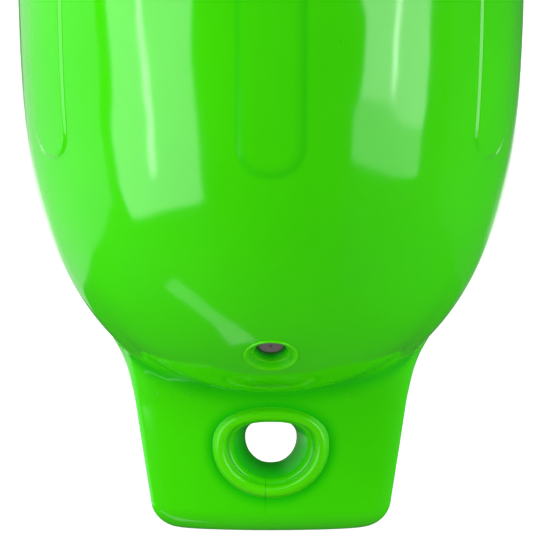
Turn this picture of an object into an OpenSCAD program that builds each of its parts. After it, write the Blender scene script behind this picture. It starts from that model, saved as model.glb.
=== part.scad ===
// Inflatable ribbed fender buoy with a rope eye at each end.
// It hangs by its upper eye: the origin is the middle of that eye's throat,
// +Z is up and the eyes run along Y. Heights inside the modules are counted
// from the end of the lower tab.

/* [Body] */
// Diameter of the round body between the ribs
body_d = 165; // [150:1:180]
// Length over both rope-eye tabs
overall_l = 559; // [480:1:700]
// Height of each dome, from the straight barrel to its pole
dome_h = 161.8; // [140:0.2:180]
// Fullness of the dome: 2 is an ellipse, more keeps the shoulder straight for longer
dome_fullness = 3.85; // [2.5:0.05:5]

/* [Ribs] */
// Number of raised ribs round the barrel
rib_count = 6; // [4:2:8]
// Width of a rib
rib_w = 24.4; // [22:0.2:28]
// Height of a rib's flat above the barrel
rib_h = 0.65; // [0.5:0.05:1.5]
// Width of the slope along a rib's edge
rib_edge = 3.4; // [2:0.1:5]
// How far a rib runs from the barrel onto the dome
rib_reach = 78.5; // [50:0.5:95]
// Rounding of the corners at a rib's nose
rib_nose_r = 11; // [8:0.5:11]

/* [Rope eye tabs] */
// Length of a tab from the pole of the dome to its end
tab_l = 49.6; // [46:0.2:60]
// Width of a tab at its end
tab_end_w = 78.4; // [68:0.2:86]
// Width of a tab where it leaves the dome
tab_root_w = 92.2; // [86:0.2:100]
// Height at which a tab stops widening, inside the dome
tab_taper_h = 65; // [60:1:75]
// Thickness of a tab
tab_t = 25; // [22:0.5:30]
// Squareness of a tab's section: 2 is an ellipse, more is squarer
tab_squareness = 6; // [4:1:8]
// Rounding of a tab's end
tab_end_r = 9.5; // [6:0.5:10]
// How far the middle of a tab's end stands out
tab_bow = 1.3; // [0.5:0.1:3]
// Softness of the blend between the dome and the tab's narrow edges
root_blend = 9.8; // [6:0.2:12]
// Softness of the tighter blend between the dome and the tab's flat faces
face_blend = 2.6; // [1:0.2:5]

/* [Rope eyes] */
// Height of an eye's middle from the end of its tab
eye_h = 31.6; // [28:0.2:34]
// Width of the throat
throat_w = 17.2; // [14:0.2:18]
// Height of the throat towards the dome
throat_in = 5.8; // [4.5:0.1:6.5]
// Height of the throat towards the tab's end
throat_out = 9; // [7:0.1:10]
// Width of the funnel's mouth
mouth_w = 29.4; // [24:0.1:31]
// Height of the mouth towards the dome
mouth_in = 8.9; // [7.5:0.1:10]
// Height of the mouth towards the tab's end
mouth_out = 13.2; // [11.5:0.1:14]
// Width of the raised rim round the mouth
rim_w = 4.2; // [3:0.1:5]
// Height of the rim above the tab
rim_h = 2; // [1:0.1:2.6]
// Depth of the groove between the funnel's shoulder and the rim
rim_groove = 0.5; // [0.2:0.1:1]
// Share of the way from throat to mouth that the funnel's straight cone takes up
cone_share = 0.59; // [0.5:0.01:0.65]
// Depth below the tab's face at which the cone turns into the shoulder
cone_end = 3; // [2:0.1:4]
// Squareness of the eye's outline on the side towards the dome
eye_squareness = 2.6; // [2:0.1:3.5]

/* [Valve] */
// Height of the valve from the end of the lower tab
valve_h = 72.4; // [70:0.2:80]
// Tilt of the valve's axis below the horizontal
valve_tilt = 45; // [35:1:55]
// Diameter of the valve seat's lip
lip_d = 16.8; // [15:0.1:18]
// Width of the lip's crest
lip_crest = 0.8; // [0.5:0.1:1.2]
// How far the lip is sunk below the top of the dome's curve
lip_sink = 0.3; // [0:0.1:0.5]
// Thickness of the lip's flange
flange_t = 3.2; // [2.5:0.1:4]
// Diameter of the stem below the flange
stem_d = 13; // [12:0.1:14]
// Length of the valve seat
seat_l = 12; // [9:0.5:16]
// Diameter of the ring at the foot of the countersink
ring_d = 11.7; // [10.4:0.1:12.4]
// Depth of that ring below the lip
ring_depth = 1.5; // [1:0.1:2]
// Diameter of the rubber core
core_d = 8.6; // [7:0.1:9]
// Depth of the core's face below the lip
core_depth = 4; // [2.5:0.1:5]
// Diameter of the needle hole
needle_d = 1.2; // [0.8:0.1:2]
// Depth of the needle hole
needle_l = 5; // [3:0.5:6]

/* [Fits] */
// Gap between an eye bushing and its pocket in the tab
bushing_gap = 0.15; // [0.05:0.05:0.3]
// Gap between the valve seat and its pocket in the dome
seat_gap = 0.15; // [0.05:0.05:0.3]
// Gap between the core and the seat's bore
core_gap = 0.1; // [0.05:0.05:0.2]

/* [Hidden] */

vinyl = [0.24, 0.78, 0.04];
rubber = [0.36, 0.31, 0.30];

$fn = 48;
body_r = body_d / 2;
shoulder_h = tab_l + dome_h;
rib_pitch = 360 / rib_count;
rib_half_angle = asin(rib_w / 2 / body_r);
rib_nose_h = shoulder_h - rib_reach;
first_rib = 90;

// The bushing's stem sits under the middle of the rim
stem_inset = rim_w / 2;
rim_top_h = eye_h + mouth_in + rim_w;
corner_angle = atan2(tab_t, tab_root_w);
eye_steps = 36;
valve_r = dome_radius(valve_h);
cut_past = 40;

// Radius of the dome at a height; below the pole it goes negative, so that the tab takes over
function dome_radius(h) =
    h >= shoulder_h
        ? body_r
        : let (fall = 1 - pow((shoulder_h - h) / dome_h, dome_fullness))
          body_r * sign(fall) * sqrt(abs(fall));

// Height of the nearest rib at an angle and a height: a flat band with sloped edges,
// whose nose has rounded corners
function rib_height(angle, h) =
    let (nearest = round((angle - first_rib) / rib_pitch) * rib_pitch + first_rib)
    let (from_side = rib_w / 2 * (1 - abs(angle - nearest) / rib_half_angle))
    let (from_nose = h - rib_nose_h)
    let (from_edge = from_side < rib_nose_r && from_nose < rib_nose_r
        ? rib_nose_r - norm([rib_nose_r - from_side, rib_nose_r - from_nose])
        : min(from_side, from_nose))
    rib_h * max(0, min(1, from_edge / rib_edge));

// Distance from the axis to a rounded box's side, at an angle
function box_radius(angle, half_w, half_t, squareness) =
    pow(pow(abs(cos(angle)) / half_w, squareness) + pow(abs(sin(angle)) / half_t, squareness),
        -1 / squareness);

// How far the tab's end rounding draws its sides in
function end_inset(h) =
    h >= tab_end_r ? 0 : tab_end_r - sqrt(tab_end_r * tab_end_r - pow(tab_end_r - h, 2));

function tab_half_w(h) =
    tab_end_w / 2 + (tab_root_w - tab_end_w) / 2 * min(h, tab_taper_h) / tab_l;

function tab_radius(angle, h) =
    box_radius(angle, tab_half_w(h) - end_inset(h), tab_t / 2 - end_inset(h), tab_squareness);

// The larger of two radii, with a soft blend where they meet
function soft_max(a, b, softness) =
    (a + b + sqrt((a - b) * (a - b) + softness * softness)) / 2;

// Rises from 0 to 1 without a kink at either end
function soft_step(x) = let (share = max(0, min(1, x))) share * share * (3 - 2 * share);

// The blend is tight on the tab's faces and widens past its corners, along the narrow edges;
// it is softest at the dome's pole, and fades out at the eye's rim and at the barrel
function blend_at(angle, h) =
    let (off_edge = asin(abs(sin(angle))))
    let (edge_share = soft_step(1 - off_edge / corner_angle))
    let (most = face_blend + (root_blend - face_blend) * edge_share)
    most * soft_step(h < tab_l ? (h - rim_top_h) / (tab_l - rim_top_h) : 1 - (h - tab_l) / dome_h);

function skin_radius(angle, h) =
    soft_max(dome_radius(h) + rib_height(angle, h), tab_radius(angle, h), blend_at(angle, h));

// Angles of one ring of points: on the edges of the ribs, and between the ribs,
// where the gaps that hold the tab's narrow edges get more points
rib_flat = 1 - rib_edge / (rib_w / 2);
rib_offsets = [for (share = [-1, -rib_flat, 0, rib_flat, 1]) share * rib_half_angle];
gap_angle = rib_pitch - 2 * rib_half_angle;
near_edge = 25;
edge_parts = 12;
plain_parts = 5;
function gap_parts(middle) = abs(sin(middle)) < sin(near_edge) ? edge_parts : plain_parts;
ring_angles = [
    for (rib = [0 : rib_count - 1])
        let (crown = first_rib + rib * rib_pitch)
        let (parts = gap_parts(crown + rib_pitch / 2))
        each concat(
            [for (offset = rib_offsets) crown + offset],
            [for (i = [1 : parts - 1]) crown + rib_half_angle + gap_angle * i / parts]
        )
];

// Heights of the rings from the tab's end to the barrel, crowded at the dome's pole
// and at the noses of the ribs
dome_steps = 16;
dome_crowding = 1.9;
shoulder_steps = 8;
nose_end_h = rib_nose_h + rib_nose_r;
end_rings = [for (turn = [0 : 18 : 90]) tab_end_r * (1 - cos(turn))];
tab_rings = [for (share = [0.35, 0.6, 0.85]) tab_end_r + (tab_l - tab_end_r) * share];
dome_rings = [
    for (i = [0 : dome_steps])
        tab_l + (rib_nose_h - tab_l) * pow(i / dome_steps, dome_crowding)
];
nose_rings = [rib_nose_h + rib_edge, (rib_nose_h + rib_edge + nose_end_h) / 2];
shoulder_rings = [
    for (i = [0 : shoulder_steps])
        nose_end_h + (shoulder_h - nose_end_h) * i / shoulder_steps
];
half_rings = concat(end_rings, tab_rings, dome_rings, nose_rings, shoulder_rings);

// The end of the tab bows out in the middle
function bow_lift(x, h) =
    let (share = x / (tab_end_w / 2))
    tab_bow * share * share * max(0, 1 - h / eye_h);

function skin_point(angle, h) =
    let (r = skin_radius(angle, h))
    let (x = r * cos(angle))
    [x, r * sin(angle), h + bow_lift(x, h)];

function upside_down(p) = [p[0], p[1], overall_l - p[2]];

// Faces of a skin over rings of points, two triangles a patch. Their shared edge follows
// the crease between dome and tab, which climbs away from the middle of the tab's faces
just_past = 1;
function skin_faces(rings, count) = [
    for (i = [0 : rings - 2])
        for (j = [0 : count - 1])
            let (k = (j + 1) % count)
            let (low = i * count)
            let (high = low + count)
            let (leaves_face = sin(2 * (ring_angles[j] + just_past)) < 0)
            let (lower_end = i < rings / 2)
            each leaves_face == lower_end
                ? [[low + j, high + j, high + k], [low + j, high + k, low + k]]
                : [[low + j, high + j, low + k], [high + j, high + k, low + k]]
];

module skin() {
    count = len(ring_angles);
    last = len(half_rings) - 1;
    lower = [for (h = half_rings) for (angle = ring_angles) skin_point(angle, h)];
    upper = [
        for (i = [last : -1 : 0])
            for (angle = ring_angles)
                upside_down(skin_point(angle, half_rings[i]))
    ];
    rings = 2 * (last + 1);
    bottom = rings * count;
    top = bottom + 1;
    top_ring = (rings - 1) * count;
    caps = [
        for (j = [0 : count - 1])
            let (k = (j + 1) % count)
            each [
                [bottom, j, k],
                [top, top_ring + k, top_ring + j]
            ]
    ];
    polyhedron(
        points = concat(lower, upper, [[0, 0, 0], [0, 0, overall_l]]),
        faces = concat(skin_faces(rings, count), caps),
        convexity = 6
    );
}

// Distance from an eye's middle to its outline: squarer towards the dome, rounder towards the end
function egg_radius(angle, half_w, inner, outer) =
    sin(angle) >= 0
        ? box_radius(angle, half_w, inner, eye_squareness)
        : box_radius(angle, half_w, outer, 2);

function throat_radius(angle) = egg_radius(angle, throat_w / 2, throat_in, throat_out);
function mouth_radius(angle) = egg_radius(angle, mouth_w / 2, mouth_in, mouth_out);
function stem_radius(angle) = mouth_radius(angle) + stem_inset;

module eye_pocket() {
    outline = [
        for (i = [0 : eye_steps - 1])
            let (angle = 360 * i / eye_steps)
            (stem_radius(angle) + bushing_gap) * [cos(angle), sin(angle)]
    ];
    translate([0, 0, eye_h])
        rotate([90, 0, 0])
            linear_extrude(height = cut_past, center = true)
                polygon(outline);
}

// Half of the bushing's section, from the throat out over the rim to the stem:
// the share of the way from the throat to the mouth, the distance past the mouth and the depth.
// The cone runs on without a kink into a curved shoulder, which ends in the groove
seat_y = tab_t / 2 + bushing_gap;
cone_y = seat_y - cone_end;
groove_y = seat_y - rim_groove;
cone_tip = cone_share * groove_y / cone_y;
shoulder_shares = [0, 0.3, 0.55, 0.78, 1];
rim_turns = [150, 120, 90, 60, 30, 0];
function on_curve(start, middle, end, s) =
    (1 - s) * (1 - s) * start + 2 * s * (1 - s) * middle + s * s * end;
half_section = concat(
    [[0, 0, 0]],
    [for (s = shoulder_shares)
        [on_curve(cone_share, cone_tip, 1, s), 0, on_curve(cone_y, groove_y, groove_y, s)]],
    [for (turn = rim_turns) [1, rim_w / 2 * (1 + cos(turn)), seat_y + rim_h * sin(turn)]],
    [[1, stem_inset, seat_y]]
);
function to_other_face(part) = [part[0], part[1], -part[2]];
section = concat(
    half_section,
    [for (i = [len(half_section) - 1 : -1 : 1]) to_other_face(half_section[i])]
);

function bushing_point(angle, part) =
    let (throat = throat_radius(angle))
    let (r = throat + (mouth_radius(angle) - throat) * part[0] + part[1])
    [r * cos(angle), part[2], r * sin(angle)];

module bushing() {
    count = len(section);
    points = [
        for (i = [0 : eye_steps - 1])
            for (part = section)
                bushing_point(360 * i / eye_steps, part)
    ];
    faces = [
        for (i = [0 : eye_steps - 1])
            for (j = [0 : count - 1])
                let (here = i * count)
                let (next = (i + 1) % eye_steps * count)
                let (k = (j + 1) % count)
                each [
                    [here + j, next + k, next + j],
                    [here + j, here + k, next + k]
                ]
    ];
    translate([0, 0, eye_h])
        polyhedron(points = points, faces = faces, convexity = 6);
}

// Local +Z points out of the valve, from the crest of its lip
module at_valve() {
    translate([0, -valve_r, valve_h])
        rotate([90 + valve_tilt, 0, 0])
            translate([0, 0, -lip_sink])
                children();
}

module valve_pocket() {
    at_valve() {
        translate([0, 0, -flange_t - seat_gap])
            cylinder(d = lip_d + 2 * seat_gap, h = cut_past);
        translate([0, 0, -seat_l - seat_gap])
            cylinder(d = stem_d + 2 * seat_gap, h = cut_past);
    }
}

// Turns the lower end's shape over to the upper end
module at_upper_end() {
    translate([0, 0, overall_l])
        mirror([0, 0, 1])
            children();
}

// Puts the middle of the upper eye at the origin
module hung() {
    translate([0, 0, eye_h - overall_l])
        children();
}

module body() {
    color(vinyl)
        hung()
            difference() {
                skin();
                eye_pocket();
                at_upper_end() eye_pocket();
                valve_pocket();
            }
}

module lower_eye_bushing() {
    color(vinyl)
        hung()
            bushing();
}

module upper_eye_bushing() {
    color(vinyl)
        hung()
            at_upper_end() bushing();
}

module valve_seat() {
    lip_r = lip_d / 2;
    bore_r = core_d / 2 + core_gap;
    color(vinyl)
        hung()
            at_valve()
                rotate_extrude()
                    polygon([
                        [bore_r, -seat_l],
                        [stem_d / 2, -seat_l],
                        [stem_d / 2, -flange_t],
                        [lip_r, -flange_t],
                        [lip_r, -lip_crest / 2],
                        [lip_r - lip_crest / 2, 0],
                        [lip_r - lip_crest, 0],
                        [ring_d / 2, -ring_depth],
                        [bore_r, -core_depth]
                    ]);
}

module valve_core() {
    color(rubber)
        hung()
            at_valve()
                difference() {
                    translate([0, 0, -seat_l])
                        cylinder(d = core_d, h = seat_l - core_depth);
                    translate([0, 0, -core_depth - needle_l])
                        cylinder(d = needle_d, h = cut_past);
                }
}

body();
lower_eye_bushing();
upper_eye_bushing();
valve_seat();
valve_core();
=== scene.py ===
"""Looks of the inflatable fender buoy: its skin, rope eyes and valve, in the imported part's frame."""

import math

import bpy
import numpy as np
from mathutils import Matrix, Vector


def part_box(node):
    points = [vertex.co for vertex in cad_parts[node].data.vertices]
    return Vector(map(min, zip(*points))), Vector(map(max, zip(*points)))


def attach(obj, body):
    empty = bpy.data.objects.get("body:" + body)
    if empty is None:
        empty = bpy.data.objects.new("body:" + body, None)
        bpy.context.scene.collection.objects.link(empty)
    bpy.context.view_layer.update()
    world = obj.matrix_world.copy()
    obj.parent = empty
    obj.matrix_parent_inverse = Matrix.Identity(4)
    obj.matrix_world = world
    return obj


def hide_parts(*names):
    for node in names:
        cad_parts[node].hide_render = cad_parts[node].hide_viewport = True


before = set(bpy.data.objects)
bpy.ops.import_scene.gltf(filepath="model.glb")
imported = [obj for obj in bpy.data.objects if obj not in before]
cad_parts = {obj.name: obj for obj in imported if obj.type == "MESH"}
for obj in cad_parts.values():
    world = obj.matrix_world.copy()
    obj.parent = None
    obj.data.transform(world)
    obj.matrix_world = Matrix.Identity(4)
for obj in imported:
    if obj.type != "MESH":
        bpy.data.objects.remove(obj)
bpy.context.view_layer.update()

MM = 0.001

# Body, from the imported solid
BODY_LOW, BODY_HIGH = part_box("body")
BODY_R = (BODY_HIGH.x - BODY_LOW.x) / 2
OVERALL_L = BODY_HIGH.z - BODY_LOW.z
END_Z = BODY_LOW.z
EYE_H = BODY_HIGH.z
DOME_H = 161.8 * MM
DOME_FULLNESS = 3.85

# Raised ribs: the edges of the front and back ones, where the angle's sine is above BROAD_RIB, rise over
# RIB_EDGE and those of the side ones over SIDE_RIB_EDGE
RIB_COUNT = 6
RIB_W = 24.4 * MM
RIB_HEIGHT = 0.65 * MM
RIB_EDGE = 5.4 * MM
SIDE_RIB_EDGE = 2.3 * MM
RAMP_ROUNDING = 0.2
RIB_REACH = 78.5 * MM
RIB_NOSE_R = 11 * MM
BROAD_RIB = 0.9

# Rope-eye tabs
TAB_L = 49.6 * MM
TAB_END_W = 78.4 * MM
TAB_ROOT_W = 92.2 * MM
TAB_TAPER_H = 65 * MM
TAB_T = 25 * MM
TAB_SQUARENESS = 6
TAB_END_R = 9.5 * MM
TAB_BOW = 1.3 * MM
ROOT_BLEND = 9.8 * MM
FACE_BLEND = 2.6 * MM
FLANK_BLEND = 9 * MM

# Rope eyes
THROAT_W = 17.2 * MM
THROAT_IN = 5.8 * MM
THROAT_OUT = 9 * MM
MOUTH_W = 29.4 * MM
MOUTH_IN = 8.9 * MM
MOUTH_OUT = 13.2 * MM
RIM_W = 4.2 * MM
RIM_HEIGHT = 2 * MM
EYE_SQUARENESS = 2.6
EYE_END_SQUARENESS = 2
RIM_FOOT = 0.7 * MM
RIM_GROOVE = 0.5 * MM
RIM_GAP = 0.2 * MM
FOOT_SINK = 0.05 * MM
FOOT_TUCK = 0.8 * MM
CONE_SHARE = 0.59
CONE_END = 3 * MM
KNIT_DEPTH = 0.16 * MM
KNIT_ANGLE = math.radians(-97)
KNIT_HALF_W = 0.35 * MM
KNIT_IN_FUNNEL = 0.4
KNIT_REACH = MOUTH_OUT + RIM_W / 2

# Valve: depths are below the lip's plane, or below the core's top for the core's wall and needle hole, and
# LIP_CREST_SINK is a share of the crest's radius
VALVE_H = 72.4 * MM
VALVE_TILT = math.radians(45)
LIP_SINK = 0.3 * MM
LIP_R = 8.4 * MM
LIP_CREST = 0.8 * MM
LIP_CREST_SINK = 0.7
LIP_OVERLAP = 0.3 * MM
SKIRT_DEPTH = 1.2 * MM
SKIRT_TUCK = 0.4 * MM
SKIRT_TUCK_DEPTH = 2.5 * MM
SLOPE_MARGIN = 0.5 * MM
SLOPE_TOP_DEPTH = 0.62 * MM
SLOPE_FOOT_RISE = 0.02 * MM
RING_R = 5.85 * MM
RING_DEPTH = 1.5 * MM
RING_EDGE_R = 0.22 * MM
RING_EDGE_SHIFT = RING_EDGE_R * 0.2
SEAT_L = 12 * MM
BORE_FLARE = 0.1 * MM
BORE_FLARE_L = 0.4 * MM
CORE_R = 4.3 * MM
CORE_DEPTH = 4 * MM
CORE_GAP = 0.1 * MM
CORE_WALL_DEPTH = 2 * MM
CORE_EDGE_R = 0.45 * MM
CORE_EDGE_SINK = 0.35 * MM
CROWN_R = CORE_R * 0.6
CROWN_HEIGHT = 0.28 * MM
NEEDLE_R = 0.6 * MM
NEEDLE_EDGE_R = 0.35 * MM
NEEDLE_EDGE_SINK = 0.1 * MM
NEEDLE_NECK_R = NEEDLE_R * 0.6
NEEDLE_NECK_DEPTH = 0.7 * MM
NEEDLE_TIP_R = NEEDLE_R * 0.3
NEEDLE_TIP_DEPTH = 3 * MM

SHOULDER_H = TAB_L + DOME_H
RIB_PITCH = 2 * math.pi / RIB_COUNT
RIB_HALF_ANGLE = math.asin(RIB_W / 2 / BODY_R)
RIB_NOSE_H = SHOULDER_H - RIB_REACH
FIRST_RIB = math.pi / 2
FRONT = -math.pi / 2
RIM_TOP_H = EYE_H + MOUTH_IN + RIM_W
CORNER_ANGLE = math.atan2(TAB_T, TAB_ROOT_W)
CREASE_ROUNDS = 3

# Angles off the tab's narrow edge at which the flank's softer blend starts, is full, falls off and ends
FLANK_ANGLES = np.radians([9, 18, 22, 34])


# Shape of the skin, by the angle round the axis and the height above the tab's end


def smooth_step(x):
    x = np.clip(x, 0, 1)
    return x * x * (3 - 2 * x)


def even_step(x):
    """A step of even slope with rounded ends."""
    x = np.clip(x, 0, 1)
    end = np.minimum(x, 1 - x)
    rounded = end**2 / (2 * RAMP_ROUNDING)
    rise = np.where(end < RAMP_ROUNDING, rounded, end - RAMP_ROUNDING / 2) / (1 - RAMP_ROUNDING)
    return np.where(x < 0.5, rise, 1 - rise)


def dome_radius(h):
    fall = 1 - np.maximum(0, (SHOULDER_H - h) / DOME_H) ** DOME_FULLNESS
    return BODY_R * np.sign(fall) * np.sqrt(np.abs(fall))


def nearest_rib(angle):
    """Angle of the nearest rib's middle line, and the distance inside that rib's sides."""
    middle = np.round((angle - FIRST_RIB) / RIB_PITCH) * RIB_PITCH + FIRST_RIB
    from_side = RIB_W / 2 * (1 - np.abs(angle - middle) / RIB_HALF_ANGLE)
    return middle, from_side


def rib_height(angle, h):
    middle, from_side = nearest_rib(angle)
    from_nose = h - RIB_NOSE_H
    corner = RIB_NOSE_R - np.hypot(RIB_NOSE_R - from_side, RIB_NOSE_R - from_nose)
    in_corner = (from_side < RIB_NOSE_R) & (from_nose < RIB_NOSE_R)
    from_edge = np.where(in_corner, corner, np.minimum(from_side, from_nose))
    broad = smooth_step(from_edge / RIB_EDGE)
    tight = even_step(from_edge / SIDE_RIB_EDGE)
    return RIB_HEIGHT * np.where(np.abs(np.sin(middle)) > BROAD_RIB, broad, tight)


def box_radius(angle, half_w, half_t, squareness):
    across = (np.abs(np.cos(angle)) / half_w) ** squareness
    through = (np.abs(np.sin(angle)) / half_t) ** squareness
    return (across + through) ** (-1 / squareness)


def end_inset(h):
    below = np.maximum(0, TAB_END_R - h)
    return TAB_END_R - np.sqrt(TAB_END_R**2 - below**2)


def tab_radius(angle, h):
    half_w = TAB_END_W / 2 + (TAB_ROOT_W - TAB_END_W) / 2 * np.minimum(h, TAB_TAPER_H) / TAB_L
    inset = end_inset(h)
    return box_radius(angle, half_w - inset, TAB_T / 2 - inset, TAB_SQUARENESS)


def crease_height(angle):
    """Height at which the dome meets the tab."""
    h = TAB_L
    for _ in range(CREASE_ROUNDS):
        share = tab_radius(angle, h) / BODY_R
        h = SHOULDER_H - DOME_H * (1 - share**2) ** (1 / DOME_FULLNESS)
    return h


def soft_max(a, b, softness):
    return (a + b + np.sqrt((a - b) ** 2 + softness**2)) / 2


def blend_at(angle, h):
    """The blend is soft at the tab's narrow edges and the flanks of its faces, and tight between them."""
    off_edge = np.arcsin(np.abs(np.sin(angle)))
    most = FACE_BLEND + (ROOT_BLEND - FACE_BLEND) * smooth_step(1 - off_edge / CORNER_ANGLE)
    first, second, third, last = FLANK_ANGLES
    rise = smooth_step((off_edge - first) / (second - first))
    fall = smooth_step((last - off_edge) / (last - third))
    most = most + FLANK_BLEND * (rise * fall)
    below = (h - RIM_TOP_H) / (TAB_L - RIM_TOP_H)
    above = 1 - (h - TAB_L) / DOME_H
    return most * smooth_step(np.where(h < TAB_L, below, above))


def skin_radius(angle, h):
    return soft_max(dome_radius(h) + rib_height(angle, h), tab_radius(angle, h), blend_at(angle, h))


def bow_lift(x, h):
    return TAB_BOW * (x / (TAB_END_W / 2)) ** 2 * np.maximum(0, 1 - h / EYE_H)


def skin_points(angle, h):
    r = skin_radius(angle, h)
    x = r * np.cos(angle)
    return np.stack([x, r * np.sin(angle), h + bow_lift(x, h)], axis=1)


def skin_normals(angle, h):
    """Normals from the slope of the shape itself, so that reflections run smoothly over the mesh."""
    along = skin_points(angle + ANGLE_NUDGE, h) - skin_points(angle - ANGLE_NUDGE, h)
    up = skin_points(angle, h + HEIGHT_NUDGE) - skin_points(angle, np.maximum(h - HEIGHT_NUDGE, 0))
    normal = np.cross(along, up)
    return normal / np.linalg.norm(normal, axis=1, keepdims=True)


# Mesh helpers


def make_piece(name, points, faces, replaced, painted_shade=None, normals=None):
    """Each point can carry a painted shade by how deep it lies, darkening the vinyl: 1 in a crevice, 2 in a
    hole.
    """
    mesh = bpy.data.meshes.new(name)
    mesh.from_pydata([tuple(p) for p in points], [], [tuple(int(i) for i in f) for f in faces])
    mesh.validate()
    mesh.shade_smooth()
    if normals is not None:
        mesh.normals_split_custom_set_from_vertices(normals)
    if painted_shade is not None:
        mesh.attributes.new("painted_shade", "FLOAT", "POINT").data.foreach_set("value", painted_shade)
    piece = bpy.data.objects.new(name, mesh)
    bpy.context.scene.collection.objects.link(piece)
    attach(piece, "root")
    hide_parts(replaced)
    return piece


def grid_faces(rings, count, closed=False):
    """Quads between rings of points that close on themselves; closed joins the last ring to the first."""
    here = np.arange(count)
    after = (here + 1) % count
    faces = []
    for ring in range(rings if closed else rings - 1):
        low = ring * count
        high = (ring + 1) % rings * count
        faces.append(np.stack([low + here, low + after, high + after, high + here], axis=1))
    return np.concatenate(faces)


# Body: rings of points at equal steps along each section, closer where the shape turns

RING_POINTS = 384
ANGLE_NUDGE = 2e-4
HEIGHT_NUDGE = 0.02 * MM
FINE_ANGLE_STEPS = 2880
FINE_HEIGHT_COUNT = 6000
FINE_ANGLES = np.linspace(0, 2 * math.pi, FINE_ANGLE_STEPS + 1)
FINE_HEIGHTS = np.linspace(TAB_END_R, SHOULDER_H, FINE_HEIGHT_COUNT)
FRONT_CREASE_H = float(crease_height(FRONT))
CREASE_RISE = crease_height(FINE_ANGLES) - FRONT_CREASE_H
RISE_END_H = 115 * MM
END_TURNS = np.radians(np.arange(0, 90, 9))
UPPER_COARSENESS = 2.6
BARREL_STEPS = 8
RIB_CROWDING = 2.5

# Spacing of the rings: a height above the tab's end and the step there, in millimetres
RING_STEPS = ((0, 1.3), (46, 1.3), (48.5, 0.6), (50.2, 0.25), (51.4, 0.25), (53, 0.6), (56, 1), (68, 1),
              (78, 2.6), (128, 2.6), (131, 1.1), (147, 1.1), (156, 4), (215, 4))
STEP_PLACES, STEP_SIZES = np.array(RING_STEPS).T * MM

# Painted shade in the crevices of the skin: that of the tabs lies below CREVICE_TOP_H and that of the ribs
# above it
CREVICE_TOP_H = EYE_H * 2
RIM_SHADE_W = 5 * MM
RIM_SHADE = 0.9
OVERHANG_SHADOW_W = 8 * MM
OVERHANG_SHADOW = 0.75
FACE_FADE = TAB_T / 4
RIB_FOOT_SHADE = 0.4
RIB_FOOT_RISE = 4
RIB_FOOT_FALL = 1.5


def ring_heights(coarseness):
    """Heights of the rings from the tab's end to the barrel, by the length along the front."""
    front = skin_radius(FRONT, FINE_HEIGHTS)
    length = np.hypot(np.diff(FINE_HEIGHTS), np.diff(front))
    step = np.interp(FINE_HEIGHTS[1:], STEP_PLACES, STEP_SIZES) * coarseness
    rings = np.concatenate([[0], np.cumsum(length / step)])
    chosen = np.interp(np.arange(0, rings[-1]), rings, FINE_HEIGHTS)
    return np.concatenate([TAB_END_R * (1 - np.cos(END_TURNS)), chosen])


def rib_crowding(front_h):
    """How much closer than elsewhere the points of a ring lie, on the edges of the ribs."""
    _, from_side = nearest_rib(FINE_ANGLES)
    on_edge = np.abs(from_side - SIDE_RIB_EDGE / 2) < SIDE_RIB_EDGE
    in_ribs = smooth_step((front_h - RISE_END_H) / (RIB_NOSE_H - RISE_END_H))
    return 1 + RIB_CROWDING * on_edge[1:] * in_ribs


def make_ring(front_h):
    """Points of one ring of the skin, at equal steps but closer on the ribs' edges, and their normals. The
    rings bend up beside the front and the back, to follow the crease between the tab and the dome."""
    below = (front_h - EYE_H) / (FRONT_CREASE_H - EYE_H)
    above = (RISE_END_H - front_h) / (RISE_END_H - FRONT_CREASE_H)
    fine_h = front_h + CREASE_RISE * smooth_step(min(below, above))
    length = np.linalg.norm(np.diff(skin_points(FINE_ANGLES, fine_h), axis=0), axis=1)
    length = np.concatenate([[0], np.cumsum(length * rib_crowding(front_h))])
    wanted = np.arange(RING_POINTS) / RING_POINTS * length[-1]
    angle = np.interp(wanted, length, FINE_ANGLES)
    h = np.interp(wanted, length, fine_h)
    return np.stack([skin_points(angle, h), skin_normals(angle, h)])


def end_cap(first):
    """Quads across the tab's flat end, whose ring starts at point first."""
    half = RING_POINTS // 2
    left = np.arange(half)
    right = (RING_POINTS - left) % RING_POINTS
    return first + np.stack([left, right, (right - 1) % RING_POINTS, left + 1], axis=1)


def cut_hole(points, faces, radius, flat):
    """Takes away the faces with two or more points inside radius(angle), and returns those that are left,
    the points on the hole's edge and their angles. flat returns two coordinates across the hole and
    whether the point is near it."""
    across, up, near = flat(points)
    inside = near & (np.hypot(across, up) < radius(np.arctan2(up, across)))
    gone = inside[faces].sum(axis=1) >= 2
    edge = np.intersect1d(faces[gone].ravel(), faces[~gone].ravel())
    angle = np.arctan2(up[edge], across[edge])
    return faces[~gone], edge, angle


def egg_radius(angle, half_w, inner, outer):
    towards_dome = box_radius(angle, half_w, inner, EYE_SQUARENESS)
    towards_end = box_radius(angle, half_w, outer, EYE_END_SQUARENESS)
    return np.where(np.sin(angle) >= 0, towards_dome, towards_end)


def throat_radius(angle):
    return egg_radius(angle, THROAT_W / 2, THROAT_IN, THROAT_OUT)


def mouth_radius(angle):
    return egg_radius(angle, MOUTH_W / 2, MOUTH_IN, MOUTH_OUT)


def stem_radius(angle):
    return mouth_radius(angle) + RIM_W / 2


def open_eye(points, faces, turned):
    """Cuts the rope eye's hole and draws its edge onto the outline under the rim; turned says that it is
    the upper end's, which is upside down."""
    middle = OVERALL_L - EYE_H if turned else EYE_H
    sign = -1 if turned else 1

    def flat(p):
        up = (p[:, 2] - middle) * sign
        return p[:, 0], up, np.abs(up) < EYE_H

    faces, edge, angle = cut_hole(points, faces, stem_radius, flat)
    r = stem_radius(angle)
    points[edge, 0] = r * np.cos(angle)
    points[edge, 2] = middle + sign * r * np.sin(angle)
    return faces


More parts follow.
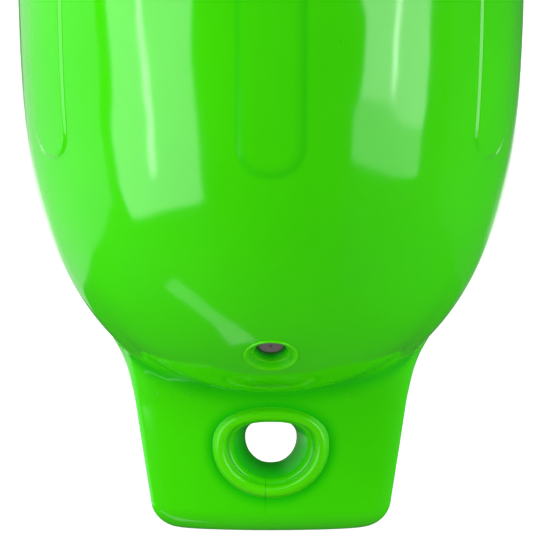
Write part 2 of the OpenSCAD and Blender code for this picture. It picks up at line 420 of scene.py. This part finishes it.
VALVE_OUT = np.array([0, -math.cos(VALVE_TILT), -math.sin(VALVE_TILT)])
VALVE_UP = np.array([0, -math.sin(VALVE_TILT), math.cos(VALVE_TILT)])
VALVE_PLACE = np.array([0, -float(dome_radius(VALVE_H)), VALVE_H]) - LIP_SINK * VALVE_OUT


def open_valve(points, faces):
    """Cuts the valve's hole and draws its edge onto the lip."""

    def flat(p):
        local = p - VALVE_PLACE
        return p[:, 0], local @ VALVE_UP, np.abs(local @ VALVE_OUT) < LIP_R

    def radius(angle):
        return np.full_like(angle, LIP_R)

    faces, edge, angle = cut_hole(points, faces, radius, flat)
    depth = (points[edge] - VALVE_PLACE) @ VALVE_OUT
    points[edge] = VALVE_PLACE + np.outer(depth, VALVE_OUT) + np.outer(LIP_R * np.sin(angle), VALVE_UP)
    points[edge, 0] = LIP_R * np.cos(angle)
    return faces


def skin_shade(points):
    """Painted shade in the crevices: round the foot of an eye's rim, a painted shadow under the overhang of
    the dome, and on the edges of the front and back ribs."""
    h = np.minimum(points[:, 2], OVERALL_L - points[:, 2])
    angle = np.arctan2(points[:, 1], points[:, 0])
    up = h - EYE_H
    past_rim = np.hypot(points[:, 0], up) - mouth_radius(np.arctan2(up, points[:, 0])) - RIM_W
    shade_round_rim = RIM_SHADE * (1 - smooth_step(past_rim / RIM_SHADE_W))
    from_crease = np.abs(crease_height(angle) - h)
    shadow_under_dome = OVERHANG_SHADOW * (1 - smooth_step(from_crease / OVERHANG_SHADOW_W))
    on_face = smooth_step((TAB_T - np.abs(points[:, 1])) / FACE_FADE)
    tab_shading = np.where(h < CREVICE_TOP_H, np.maximum(shade_round_rim, shadow_under_dome), 0) * on_face
    risen = rib_height(angle, h) / RIB_HEIGHT
    rib_foot_shading = smooth_step(RIB_FOOT_RISE * risen) * smooth_step(RIB_FOOT_FALL * (1 - risen))
    on_broad_rib = (h > CREVICE_TOP_H) & (np.abs(np.sin(angle)) > BROAD_RIB)
    return np.maximum(tab_shading, RIB_FOOT_SHADE * rib_foot_shading * on_broad_rib)


def make_body():
    lower = [make_ring(h) for h in ring_heights(1)]
    upper = [make_ring(h) for h in ring_heights(UPPER_COARSENESS)[::-1]]
    for points, normals in upper:
        points[:, 2] = OVERALL_L - points[:, 2]
        normals[:, 2] *= -1
    barrel = []
    for height in np.linspace(SHOULDER_H, OVERALL_L - SHOULDER_H, BARREL_STEPS + 1):
        ring = make_ring(SHOULDER_H)
        ring[0, :, 2] = height
        barrel.append(ring)
    rings = lower + barrel + upper
    points, normals = np.concatenate(rings, axis=1)
    caps = [end_cap(0), end_cap((len(rings) - 1) * RING_POINTS)[:, ::-1]]
    faces = np.concatenate([grid_faces(len(rings), RING_POINTS), *caps])
    faces = open_eye(points, faces, turned=False)
    faces = open_eye(points, faces, turned=True)
    faces = open_valve(points, faces)
    used, packed = np.unique(faces, return_inverse=True)
    points = points[used]
    painted_shade = skin_shade(points)
    points[:, 2] += END_Z
    packed = packed.reshape(faces.shape)
    return make_piece("vinyl_skin", points, packed, "body", painted_shade, normals[used])


# Rope-eye bushings: funnel, groove, rounded rim and its flared foot, turned round the egg outline

EYE_STEPS = 240
# Painted shade in the funnel, the throat and the groove
FUNNEL_SHADE = 0.8
FUNNEL_STEEPNESS = 4
THROAT_SHADE = 0.5
GROOVE_SHADE = 0.5
CONE_SHARES = np.linspace(0, 1, 13)
SHOULDER_SHARES = np.linspace(0, 1, 11)[1:]
RIM_TURNS = np.radians(np.arange(172, 14, -8))
FOOT_SHARES = np.linspace(0, 1, 6)[1:]
KNIT_OFFSETS = np.array([-1.6, -1, -0.5, 0, 0.5, 1, 1.6]) * KNIT_HALF_W / KNIT_REACH


def on_curve(start, middle, end, s):
    """A value on the curve from start to end that a middle value draws to itself."""
    return (1 - s) ** 2 * start + 2 * s * (1 - s) * middle + s * s * end


def half_section():
    """Share of the way from throat to mouth, distance past the mouth and depth, for one face of the tab."""
    seat = TAB_T / 2
    cone_y = seat - CONE_END
    groove_y = seat - RIM_GROOVE
    cone_tip = CONE_SHARE * groove_y / cone_y
    section = [(CONE_SHARE * s, 0, cone_y * s) for s in CONE_SHARES]
    for s in SHOULDER_SHARES:
        share = on_curve(CONE_SHARE, cone_tip, 1, s)
        section.append((share, 0, on_curve(cone_y, groove_y, groove_y, s)))
    for turn in RIM_TURNS:
        past = RIM_GAP + (RIM_W - RIM_GAP) / 2 * (1 + math.cos(turn))
        section.append((1, past, seat + RIM_HEIGHT * math.sin(turn)))
    _, rim_past, rim_y = section[-1]
    for s in FOOT_SHARES:
        past = rim_past + (RIM_W + RIM_FOOT - rim_past) * s
        section.append((1, past, seat + (rim_y - seat) * (1 - s) ** 2 - FOOT_SINK * s))
    section.append((1, RIM_W / 2, seat - FOOT_TUCK))
    return section


def bushing_angles():
    """Even angles round the eye, with closer ones at the knit line."""
    even = np.arange(EYE_STEPS) / EYE_STEPS * 2 * math.pi - math.pi
    clear = np.abs(even - KNIT_ANGLE) > np.abs(KNIT_OFFSETS).max()
    return np.sort(np.concatenate([even[clear], KNIT_ANGLE + KNIT_OFFSETS]))


def bushing_shade(depth):
    """Painted shade in the funnel, the throat and the groove, by the distance from the tab's middle plane.
    """
    seat = TAB_T / 2
    below_face = (seat - np.abs(depth)) / seat
    in_funnel = FUNNEL_SHADE * smooth_step(FUNNEL_STEEPNESS * below_face)
    in_throat = THROAT_SHADE * smooth_step(below_face)
    from_groove = np.abs(np.abs(depth) - seat + RIM_GROOVE)
    in_groove = GROOVE_SHADE * (1 - smooth_step(from_groove / RIM_HEIGHT))
    return np.maximum(in_funnel + in_throat, in_groove)


def make_bushing(name, replaced, turned):
    half = half_section()
    section = np.array(half + [(share, past, -y) for share, past, y in half[:0:-1]])
    share, past, depth = section.T
    angles = bushing_angles()
    throat = throat_radius(angles)[:, None]
    mouth = mouth_radius(angles)[:, None]
    r = throat + (mouth - throat) * share + past
    knit = 1 - smooth_step(np.abs(angles - KNIT_ANGLE) * KNIT_REACH / KNIT_HALF_W)
    on_rim = np.where(past > 0, 1, KNIT_IN_FUNNEL)
    y = depth - np.sign(depth) * KNIT_DEPTH * knit[:, None] * on_rim
    x = r * np.cos(angles)[:, None]
    z = EYE_H + r * np.sin(angles)[:, None]
    if turned:
        z = OVERALL_L - z
    points = np.stack([x, y, z + END_Z], axis=2).reshape(-1, 3)
    painted_shade = np.broadcast_to(bushing_shade(depth), x.shape).ravel()
    faces = grid_faces(len(angles), len(section), closed=True)
    if not turned:
        faces = faces[:, ::-1]
    return make_piece(name, points, faces, replaced, painted_shade)


# Valve: a seat with a stepped recess and a rubber core with a needle hole, turned round the valve's axis

VALVE_STEPS = 96

# Painted shade on the seat's bottom, ring edge, slope and lip; above 1, on the bottom, it is painted deep
# shadow
SEAT_SHADE = (1.8, 0.15, 0.55, 0)


def turn_valve(profile):
    """Points and faces of a profile of (radius, height above the lip) turned round the valve's axis."""
    profile = np.array(profile)
    angle = np.arange(VALVE_STEPS) / VALVE_STEPS * 2 * math.pi
    points = []
    for r, height in profile:
        ring = VALVE_PLACE + np.outer(r * np.sin(angle), VALVE_UP) + height * VALVE_OUT
        ring[:, 0] += r * np.cos(angle)
        points.append(ring)
    points = np.concatenate(points)
    points[:, 2] += END_Z
    return points, grid_faces(len(profile), VALVE_STEPS)


def round_corner(place, radius, start, end, steps=6):
    """Points of an arc of a radius round a place, from one angle to another, in degrees."""
    turns = np.radians(np.linspace(start, end, steps))
    return [(place[0] + radius * math.cos(t), place[1] + radius * math.sin(t)) for t in turns]


def make_seat():
    bore = CORE_R + CORE_GAP
    crest = LIP_CREST / 2
    bottom = [(bore, -SEAT_L), (bore, -CORE_DEPTH - BORE_FLARE_L), (bore + BORE_FLARE, -CORE_DEPTH)]
    ring_corner = (RING_R + RING_EDGE_SHIFT, -RING_DEPTH - RING_EDGE_R)
    ring = round_corner(ring_corner, RING_EDGE_R, 200, 100)
    slope = [(RING_R + SLOPE_MARGIN, -RING_DEPTH + SLOPE_FOOT_RISE)]
    slope += [(LIP_R - LIP_CREST - SLOPE_MARGIN, -SLOPE_TOP_DEPTH)]
    lip_corner = (LIP_R - crest + LIP_OVERLAP, -crest * LIP_CREST_SINK)
    lip = round_corner(lip_corner, crest, 150, -20, 10)
    lip += [(LIP_R + LIP_OVERLAP, -SKIRT_DEPTH), (LIP_R - SKIRT_TUCK, -SKIRT_TUCK_DEPTH)]
    points, faces = turn_valve(bottom + ring + slope + lip)
    # Painted shade on each part of the seat, deepest at the bottom
    parts = zip((bottom, ring, slope, lip), SEAT_SHADE)
    painted_shade = np.concatenate([np.full(len(part) * VALVE_STEPS, depth) for part, depth in parts])
    return make_piece("valve_recess", points, faces, "valve_seat", painted_shade)


def make_core():
    top = -CORE_DEPTH
    profile = [(NEEDLE_TIP_R, top - NEEDLE_TIP_DEPTH), (NEEDLE_NECK_R, top - NEEDLE_NECK_DEPTH)]
    needle_corner = (NEEDLE_R + NEEDLE_EDGE_R, top - NEEDLE_EDGE_SINK)
    profile += round_corner(needle_corner, NEEDLE_EDGE_R, 180, 90)
    profile += [(CROWN_R, top + CROWN_HEIGHT)]
    core_corner = (CORE_R - CORE_EDGE_R, top - CORE_EDGE_SINK)
    profile += round_corner(core_corner, CORE_EDGE_R, 80, 0)
    profile += [(CORE_R, top - CORE_WALL_DEPTH), (CORE_R, -SEAT_L)]
    points, faces = turn_valve(profile)
    return make_piece("valve_plug", points, faces, "valve_core")


# Materials: colours are linear red, green and blue, and a polish is the least and the most roughness

SKIN_GREENS = ((0.052, 0.71, 0.001), (0.045, 0.67, 0.001))
SKIN_POLISH = (0.07, 0.13)
SKIN_REFRACTION = 1.62
# The eye vinyl's greens are lighter and yellower than the skin's, a painted highlight on the rims and the
# valve's lip
EYE_LIT_GREENS = ((0.085, 0.74, 0.001), (0.075, 0.71, 0.001))
EYE_POLISH = (0.15, 0.22)
EYE_REFRACTION = 1.4
# Painted shade: the green that crevices darken to, and the near black of painted deep shadow in holes
PAINTED_SHADE_GREEN = (0.001, 0.54, 0.0005)
PAINTED_DEEP_SHADOW_GREEN = (0.001, 0.05, 0.0004)
KNIT_GREEN = (0.004, 0.25, 0.001)
SPECK_COLOUR = (0.01, 0.05, 0.005)
RUBBER_GREYS = ((0.19, 0.14, 0.17), (0.27, 0.2, 0.24))
RUBBER_POLISH = (0.45, 0.65)

# Painted-shade values from which the vinyl is duller and fully dull, how much rougher it gets, and where
# the waves end
DULL_SHADES = (0.5, 1.5)
DULLNESS = 0.3
WAVES_END_SHADE = 0.4

# Lumps of the noises to the metre, the depths of the bumps, and the spans of noise that are stretched out
CLOUDS_PER_M = 14
SMEARS_PER_M = 60
SMEAR_FINENESS = 0.6
WAVES_PER_M = 30
PEEL_PER_M = 420
GRAIN_PER_M = 900
WAVE_DEPTH = 0.9 * MM
PEEL_DEPTH = 0.006 * MM
GRAIN_DEPTH = 0.05 * MM
NARROW_SPAN = (0.35, 0.65)
WIDE_SPAN = (0.3, 0.7)

# Knit line and specks of dirt
KNIT_X = -1.8 * MM
KNIT_FADE = 2 * MM
KNIT_SHADE = 0.5
KNIT_TAIL = 8 * MM
SPECKS_PER_M = 45
SPECK_R = 0.35 * MM
SPECK_SHARE = 0.25
SPECK_SHADE = 0.5


def new_material(name):
    material = bpy.data.materials.new(name)
    material.use_nodes = True
    nodes = material.node_tree.nodes
    return material, nodes, material.node_tree.links, nodes["Principled BSDF"]


def add_noise(nodes, links, scale, detail, roughness=0.5):
    """Noise in the object's own coordinates, with that many lumps to the metre."""
    place = nodes.new("ShaderNodeTexCoord")
    noise = nodes.new("ShaderNodeTexNoise")
    noise.inputs["Scale"].default_value = scale
    noise.inputs["Detail"].default_value = detail
    noise.inputs["Roughness"].default_value = roughness
    links.new(place.outputs["Object"], noise.inputs["Vector"])
    return noise.outputs["Fac"]


def add_range(nodes, links, value, low, high, to_low, to_high):
    spread = nodes.new("ShaderNodeMapRange")
    spread.inputs["From Min"].default_value = low
    spread.inputs["From Max"].default_value = high
    spread.inputs["To Min"].default_value = to_low
    spread.inputs["To Max"].default_value = to_high
    links.new(value, spread.inputs["Value"])
    return spread.outputs["Result"]


def add_bump(nodes, links, height, distance, before=None):
    bump = nodes.new("ShaderNodeBump")
    bump.inputs["Distance"].default_value = distance
    links.new(height, bump.inputs["Height"])
    if before is not None:
        links.new(before, bump.inputs["Normal"])
    return bump.outputs["Normal"]


def add_mix(nodes, links, share, first, second):
    """A mix of two colours, each a link or numbers."""
    mix = nodes.new("ShaderNodeMix")
    mix.data_type = "RGBA"
    for colour, socket in ((first, mix.inputs["A"]), (second, mix.inputs["B"])):
        if isinstance(colour, tuple):
            socket.default_value = (*colour, 1)
        else:
            links.new(colour, socket)
    links.new(share, mix.inputs["Factor"])
    return mix.outputs["Result"]


def add_math(nodes, links, operation, first, second):
    """The outcome of an operation on two values, each a link or a number."""
    node = nodes.new("ShaderNodeMath")
    node.operation = operation
    for value, socket in zip((first, second), node.inputs):
        if isinstance(value, (int, float)):
            socket.default_value = value
        else:
            links.new(value, socket)
    return node.outputs["Value"]


def add_specks(nodes, links):
    """1 on small, far apart specks of dirt, and 0 elsewhere."""
    place = nodes.new("ShaderNodeTexCoord")
    cells = nodes.new("ShaderNodeTexVoronoi")
    cells.inputs["Scale"].default_value = SPECKS_PER_M
    links.new(place.outputs["Object"], cells.inputs["Vector"])
    near = add_range(nodes, links, cells.outputs["Distance"], SPECK_R * SPECKS_PER_M, 0, 0, 1)
    chance = nodes.new("ShaderNodeSeparateColor")
    links.new(cells.outputs["Color"], chance.inputs["Color"])
    chosen = add_math(nodes, links, "GREATER_THAN", chance.outputs["Red"], 1 - SPECK_SHARE)
    return add_math(nodes, links, "MULTIPLY", near, chosen)


def add_knit_line(nodes, links):
    """1 on the thin line where the moulded vinyl met, across the lower eye's rim and a little below it."""
    place = nodes.new("ShaderNodeTexCoord")
    axes = nodes.new("ShaderNodeSeparateXYZ")
    links.new(place.outputs["Object"], axes.inputs["Vector"])
    offset = add_math(nodes, links, "SUBTRACT", axes.outputs["X"], KNIT_X)
    aside = add_math(nodes, links, "ABSOLUTE", offset, 0)
    line = add_range(nodes, links, aside, KNIT_HALF_W, 0, 0, 1)
    top = END_Z + EYE_H - MOUTH_OUT + KNIT_FADE
    below = add_range(nodes, links, axes.outputs["Z"], top, top - KNIT_FADE, 0, 1)
    rim_end = END_Z + EYE_H - MOUTH_OUT - RIM_W
    fade = add_range(nodes, links, axes.outputs["Z"], rim_end - KNIT_TAIL, rim_end, 0, 1)
    started = add_math(nodes, links, "MULTIPLY", line, below)
    return add_math(nodes, links, "MULTIPLY", started, fade)


def make_vinyl(name, greens, polish, refraction):
    """Vinyl in clouds of two close greens, darker with painted shade and duller where the mesh marks
    crevices and holes.
    """
    material, nodes, links, shader = new_material(name)
    attribute = nodes.new("ShaderNodeAttribute")
    attribute.attribute_name = "painted_shade"
    painted_shade = attribute.outputs["Fac"]
    clouds = add_range(nodes, links, add_noise(nodes, links, CLOUDS_PER_M, 3), *NARROW_SPAN, 0, 1)
    colour = add_mix(nodes, links, clouds, *greens)
    # Painted shade in crevices, and painted deep shadow in holes
    colour = add_mix(nodes, links, painted_shade, colour, PAINTED_SHADE_GREEN)
    in_deep_shadow = add_range(nodes, links, painted_shade, 1, 2, 0, 1)
    colour = add_mix(nodes, links, in_deep_shadow, colour, PAINTED_DEEP_SHADOW_GREEN)
    knit = add_math(nodes, links, "MULTIPLY", add_knit_line(nodes, links), KNIT_SHADE)
    colour = add_mix(nodes, links, knit, colour, KNIT_GREEN)
    specks = add_math(nodes, links, "MULTIPLY", add_specks(nodes, links), SPECK_SHADE)
    colour = add_mix(nodes, links, specks, colour, SPECK_COLOUR)
    links.new(colour, shader.inputs["Base Color"])
    smears = add_noise(nodes, links, SMEARS_PER_M, 5, SMEAR_FINENESS)
    smeared = add_range(nodes, links, smears, *WIDE_SPAN, *polish)
    dull = add_range(nodes, links, painted_shade, *DULL_SHADES, 0, DULLNESS)
    links.new(add_math(nodes, links, "ADD", smeared, dull), shader.inputs["Roughness"])
    waves = add_bump(nodes, links, add_noise(nodes, links, WAVES_PER_M, 1), WAVE_DEPTH)
    wave_share = add_range(nodes, links, painted_shade, 0, WAVES_END_SHADE, 1, 0)
    links.new(wave_share, waves.node.inputs["Strength"])
    peel = add_bump(nodes, links, add_noise(nodes, links, PEEL_PER_M, 2), PEEL_DEPTH, waves)
    links.new(peel, shader.inputs["Normal"])
    shader.inputs["IOR"].default_value = refraction
    return material


def make_rubber():
    material, nodes, links, shader = new_material("grey_rubber")
    grain = add_noise(nodes, links, GRAIN_PER_M, 4)
    share = add_range(nodes, links, grain, *NARROW_SPAN, 0, 1)
    links.new(add_mix(nodes, links, share, *RUBBER_GREYS), shader.inputs["Base Color"])
    links.new(add_range(nodes, links, grain, *WIDE_SPAN, *RUBBER_POLISH), shader.inputs["Roughness"])
    links.new(add_bump(nodes, links, grain, GRAIN_DEPTH), shader.inputs["Normal"])
    return material


# Stage, light and camera: sizes are in metres, and the lens and sensor in millimetres

FLOOR_GAP = 2.5
FLOOR_HALF = 40.0
FLOOR_COLOUR = (0.8, 0.8, 0.8)
FLOOR_ROUGHNESS = 0.9
CAMERA_PLACE = Vector((-0.3 * MM, -932 * MM, END_Z + 283.3 * MM))
CAMERA_DOWN = math.radians(11.77)
CAMERA_LENS = 190.2
CAMERA_SENSOR = 36
CAMERA_NEAR = 0.01
WORLD_LEVEL = 0.025
BACKGROUND_LIGHT_SIZE = (8.0, 23.0)
BACKGROUND_LIGHT_PLACE = (0, 19, 0.8)
BACKGROUND_RADIANCE = 1.7

# Upright soft lights: azimuth from the front in degrees, positive to the right, then lowest and
# highest point above the lower tab's end, width, distance from the axis, roll in degrees and radiance
SOFT_LIGHTS = {
    "left_softbox": (-53.4, -0.073, 0.66, 0.28, 0.4, 5, 2.4),
    "left_tube": (-54.9, 0.0, 0.5, 0.019, 0.39, 5, 5.0),
    "right_softbox": (57, -0.03, 0.66, 0.44, 0.75, -5, 2.9),
    "right_softbox_foot": (54.3, -0.135, -0.03, 0.46, 0.75, -5, 1.5),
    "right_tube": (56, 0.0, 0.5, 0.035, 0.74, -5, 5.0),
    "left_panel": (-120, -0.45, 0.8, 1.5, 0.95, 0, 0.6),
    "right_panel": (122, -0.4, 0.8, 1.3, 0.9, 0, 0.06),
}

# Fill lights of the same kind, which the gloss doesn't show
FILL_LIGHTS = {
    "front_fill": (20, -0.04, 0.51, 0.8, 0.65, 0, 0.2),
    "right_fill": (80, -0.19, 0.36, 0.7, 0.55, 0, 0.45),
    "right_low_fill": (70, -0.54, -0.04, 0.7, 0.5, 0, 1.1),
    "left_low_fill": (-65, -0.54, -0.04, 0.7, 0.5, 0, 1.2),
    "left_side_fill": (-100, -0.35, 0.05, 0.6, 0.45, 0, 0.9),
    "right_side_fill": (100, -0.35, 0.05, 0.6, 0.45, 0, 0.8),
    "back_fill": (180, -0.08, 0.64, 0.6, 0.45, 0, 1.3),
}
KEY_SIZE = (1.2, 0.9)
KEY_PLACE = (-0.55, -0.85, 1.25)
KEY_RADIANCE = 1.8

# Low cards that the dome shows as one slanting band: corners of their bent middle line
FLOOR_CARD_LINE = ((-0.38, -0.208), (-0.26, -0.193), (-0.15, -0.137), (-0.067, -0.043))
FLOOR_CARD_HEIGHT = -0.33
FLOOR_CARD_W = 0.075
FLOOR_CARD_RADIANCE = 0.85


def make_floor():
    z = END_Z - FLOOR_GAP
    corners = [(-FLOOR_HALF, -FLOOR_HALF, z), (FLOOR_HALF, -FLOOR_HALF, z)]
    corners += [(FLOOR_HALF, FLOOR_HALF, z), (-FLOOR_HALF, FLOOR_HALF, z)]
    mesh = bpy.data.meshes.new("floor")
    mesh.from_pydata(corners, [], [(0, 1, 2, 3)])
    floor = bpy.data.objects.new("floor", mesh)
    bpy.context.scene.collection.objects.link(floor)
    material, _, _, shader = new_material("pale_floor")
    shader.inputs["Base Color"].default_value = (*FLOOR_COLOUR, 1)
    shader.inputs["Roughness"].default_value = FLOOR_ROUGHNESS
    shader.inputs["Specular IOR Level"].default_value = 0
    mesh.materials.append(material)


def add_area_light(name, size, place, rotation, radiance):
    light = bpy.data.lights.new(name, "AREA")
    light.shape = "RECTANGLE"
    light.size, light.size_y = size
    light.energy = radiance * math.pi * light.size * light.size_y
    lamp = bpy.data.objects.new(name, light)
    lamp.location = Vector(place) + Vector((0, 0, END_Z))
    lamp.rotation_euler = rotation
    lamp.visible_camera = False
    bpy.context.scene.collection.objects.link(lamp)
    return lamp


def add_soft_light(name, azimuth, lowest, highest, width, distance, roll, radiance):
    """An upright light that faces the axis."""
    turn = math.radians(azimuth)
    place = (distance * math.sin(turn), -distance * math.cos(turn), (lowest + highest) / 2)
    facing = Matrix.Rotation(turn, 3, "Z") @ Matrix.Rotation(math.pi / 2, 3, "X")
    rolled = facing @ Matrix.Rotation(math.radians(roll), 3, "Z")
    return add_area_light(name, (width, highest - lowest), place, rolled.to_euler(), radiance)


def add_floor_cards():
    for start, end in zip(FLOOR_CARD_LINE, FLOOR_CARD_LINE[1:]):
        step = Vector(end) - Vector(start)
        middle = (Vector(end) + Vector(start)) / 2
        upwards = (math.pi, 0, math.atan2(step.y, step.x))
        size = (step.length, FLOOR_CARD_W)
        add_area_light("floor_card", size, (*middle, FLOOR_CARD_HEIGHT), upwards, FLOOR_CARD_RADIANCE)


def add_lights():
    for name, sizes in SOFT_LIGHTS.items():
        add_soft_light(name, *sizes)
    for name, sizes in FILL_LIGHTS.items():
        add_soft_light(name, *sizes).visible_glossy = False
    to_body = -Vector(KEY_PLACE)
    facing = to_body.to_track_quat("-Z", "Y").to_euler()
    add_area_light("key", KEY_SIZE, KEY_PLACE, facing, KEY_RADIANCE)
    add_floor_cards()
    over_floor = Vector(BACKGROUND_LIGHT_PLACE) - Vector((0, 0, FLOOR_GAP))
    add_area_light("background_light", BACKGROUND_LIGHT_SIZE, over_floor, (0, 0, 0), BACKGROUND_RADIANCE)


def make_world():
    world = bpy.data.worlds.new("studio")
    world.use_nodes = True
    sky = world.node_tree.nodes["Background"]
    sky.inputs["Color"].default_value = (1, 1, 1, 1)
    sky.inputs["Strength"].default_value = WORLD_LEVEL
    bpy.context.scene.world = world


def make_camera():
    data = bpy.data.cameras.new("camera")
    data.lens = CAMERA_LENS
    data.sensor_width = CAMERA_SENSOR
    data.clip_start = CAMERA_NEAR
    camera = bpy.data.objects.new("camera", data)
    camera.location = CAMERA_PLACE
    camera.rotation_euler = (math.pi / 2 - CAMERA_DOWN, 0, 0)
    bpy.context.scene.collection.objects.link(camera)
    bpy.context.scene.camera = camera


def main():
    skin_vinyl = make_vinyl("lime_vinyl", SKIN_GREENS, SKIN_POLISH, SKIN_REFRACTION)
    eye_vinyl = make_vinyl("lime_eye_vinyl", EYE_LIT_GREENS, EYE_POLISH, EYE_REFRACTION)
    make_body().data.materials.append(skin_vinyl)
    make_seat().data.materials.append(eye_vinyl)
    lower = make_bushing("lower_eye_rim", "lower_eye_bushing", turned=False)
    lower.data.materials.append(eye_vinyl)
    upper = make_bushing("upper_eye_rim", "upper_eye_bushing", turned=True)
    upper.data.materials.append(eye_vinyl)
    make_core().data.materials.append(make_rubber())
    make_floor()
    add_lights()
    make_world()
    make_camera()
    bpy.context.scene.view_settings.view_transform = "Standard"


main()
